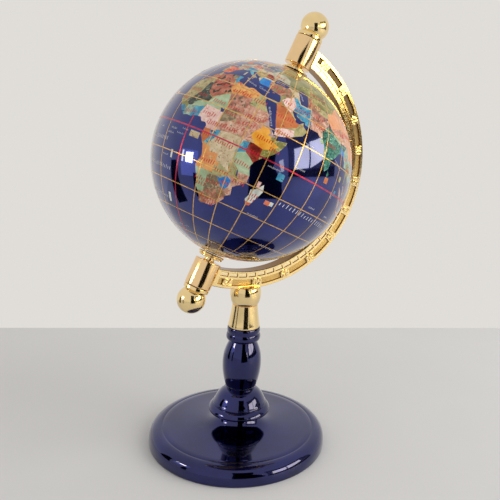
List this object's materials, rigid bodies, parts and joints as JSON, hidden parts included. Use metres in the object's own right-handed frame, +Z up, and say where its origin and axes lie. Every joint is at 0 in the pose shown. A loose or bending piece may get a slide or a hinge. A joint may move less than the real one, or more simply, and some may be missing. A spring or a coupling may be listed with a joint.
{
  "type": "gemstone globe",
  "caption": "Desk globe: an inlaid stone ball spins on a tilted axis in a numbered half ring, on a turned lacquered stem and round foot.",
  "frame": {"origin": "centre of the foot's underside, on the stem's axis", "axes": "+Z up along the stem, half ring in the XZ plane with its open side and the south pole towards -X, north pole leaning towards +X, numbered face towards -Y"},
  "size_m": [0.1271, 0.11, 0.2534],
  "materials": {
    "navy_lacquer": "glossy dark blue lacquer",
    "gold_plate": "polished gold plate",
    "inlaid_stone": "polished inlaid stone with gilt wires"
  },
  "bodies": {
    "stand": {"base": "navy_lacquer", "stem": "navy_lacquer", "ferrule": "gold_plate", "meridian_arc": "gold_plate", "finial_north": "gold_plate", "finial_south": "gold_plate"},
    "ball": {"globe": "inlaid_stone", "washer_north": "gold_plate", "washer_south": "gold_plate"}
  },
  "joints": [
    {"name": "globe_spin", "type": "hinge", "parent": "stand", "child": "ball", "pos_m": [0, 0, 0.1692], "axis": [0.3987, 0, 0.9171], "continuous": true}
  ]
}
